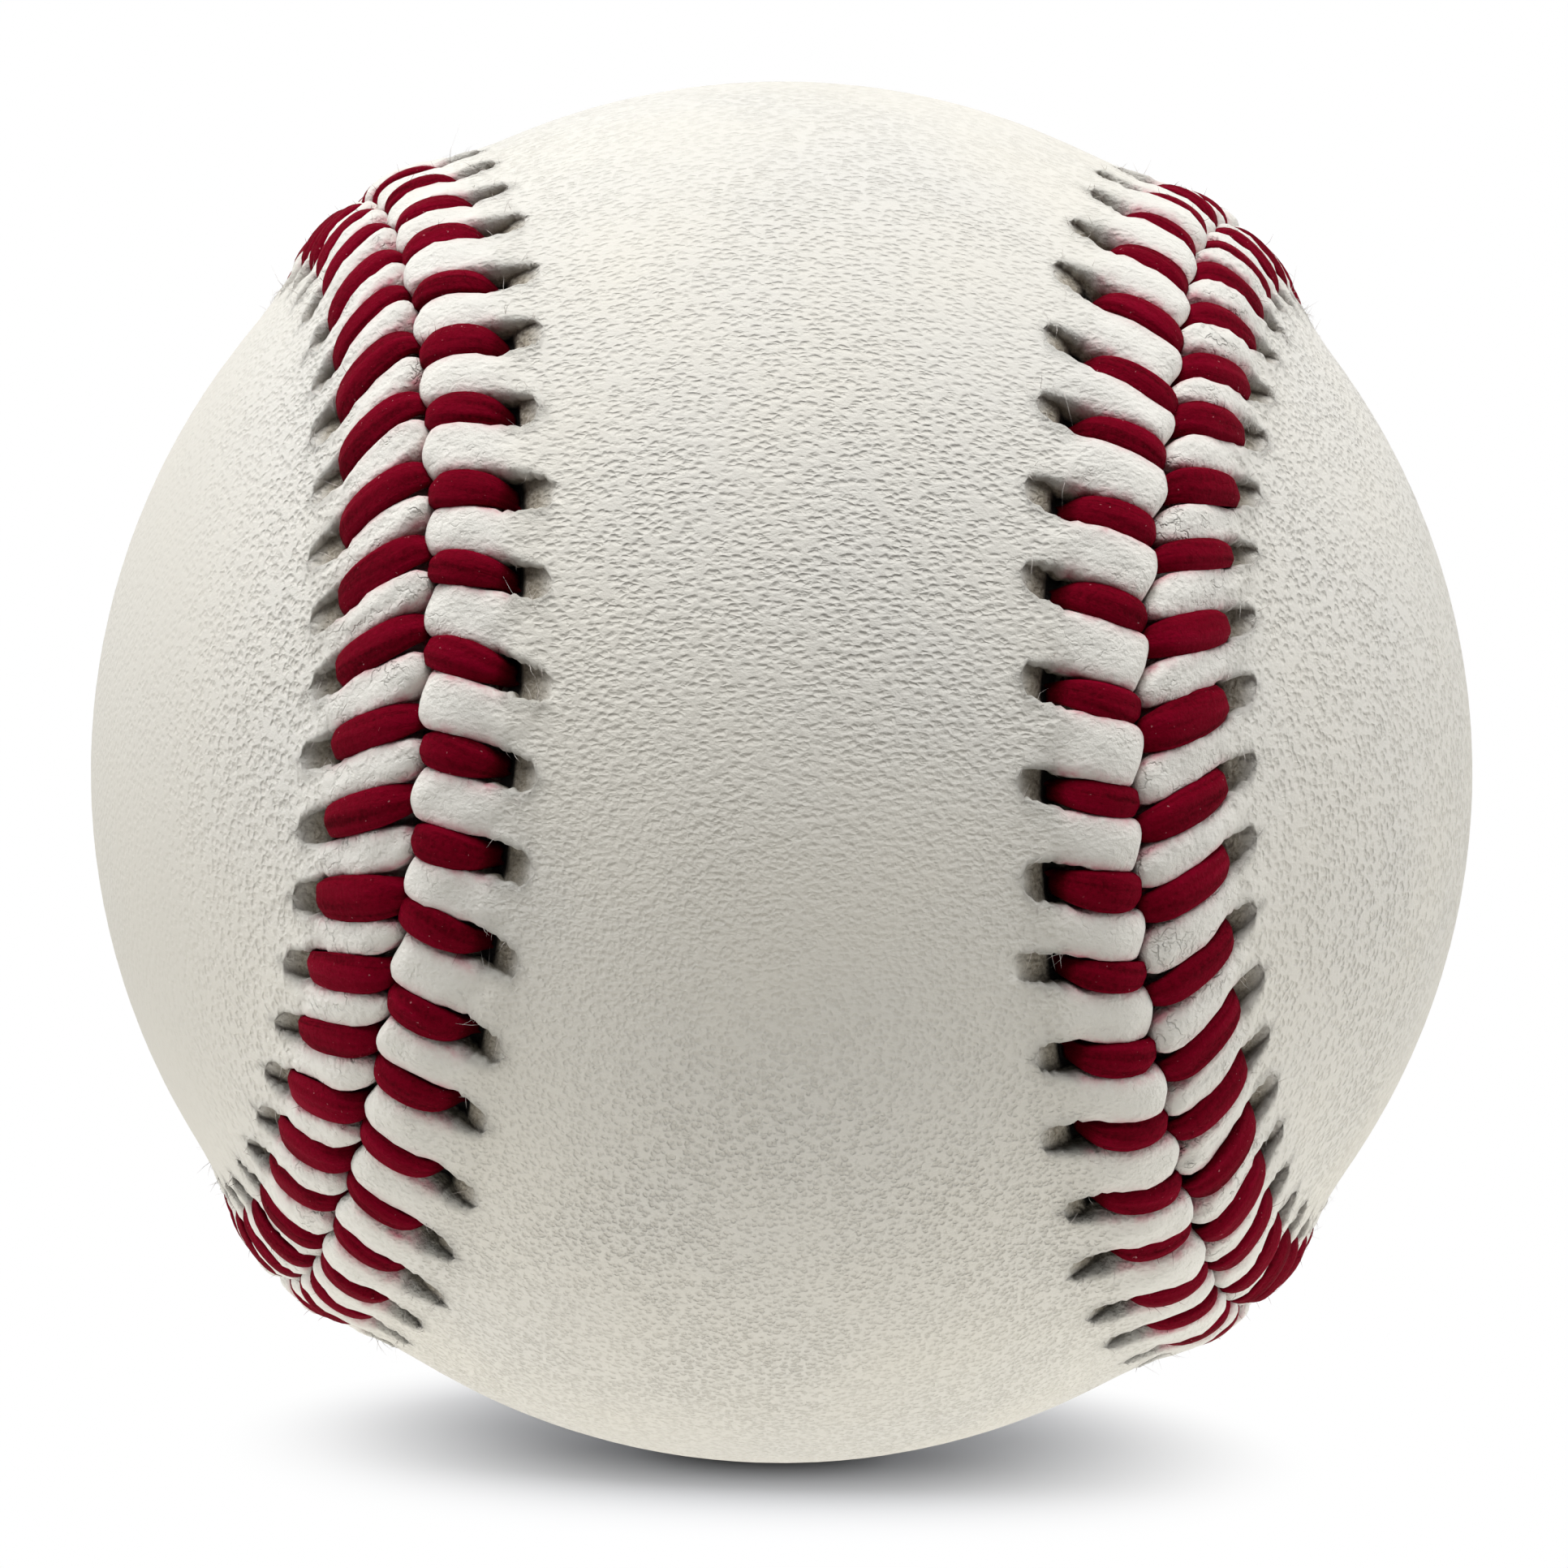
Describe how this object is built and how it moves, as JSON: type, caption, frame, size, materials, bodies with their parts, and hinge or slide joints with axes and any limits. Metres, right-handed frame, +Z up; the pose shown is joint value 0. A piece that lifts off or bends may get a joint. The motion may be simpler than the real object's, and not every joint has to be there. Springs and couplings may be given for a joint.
{
  "type": "baseball",
  "caption": "Leather-covered ball with a raised seam sewn in red thread, over yarn windings and a rubber-cased cork core, for throwing and batting.",
  "frame": {"origin": "centre of the ball", "axes": "+Z up, -Y towards the viewer of the picture, through the middle of the front panel's waist"},
  "size_m": [0.0742, 0.0742, 0.0742],
  "materials": {
    "leather": "matte, fine grain",
    "red_thread": "waxed cotton thread",
    "cork": "raw cork and rubber composition",
    "black_rubber": "moulded",
    "red_rubber": "moulded",
    "grey_wool": "wound wool yarn",
    "white_wool": "wound wool yarn",
    "white_cotton": "wound poly-cotton yarn"
  },
  "bodies": {
    "root": {"cork_core": "cork", "black_rubber_half_shell_upper": "black_rubber", "black_rubber_half_shell_lower": "black_rubber", "rubber_gasket_upper": "red_rubber", "rubber_gasket_lower": "red_rubber", "red_rubber_layer": "red_rubber", "first_winding_grey_wool": "grey_wool", "second_winding_white_wool": "white_wool", "third_winding_grey_wool": "grey_wool", "finishing_winding_cotton": "white_cotton", "cover_panel_front": "leather", "cover_panel_back": "leather", "seam_thread_first_needle": "red_thread", "seam_thread_second_needle": "red_thread"}
  },
  "joints": []
}
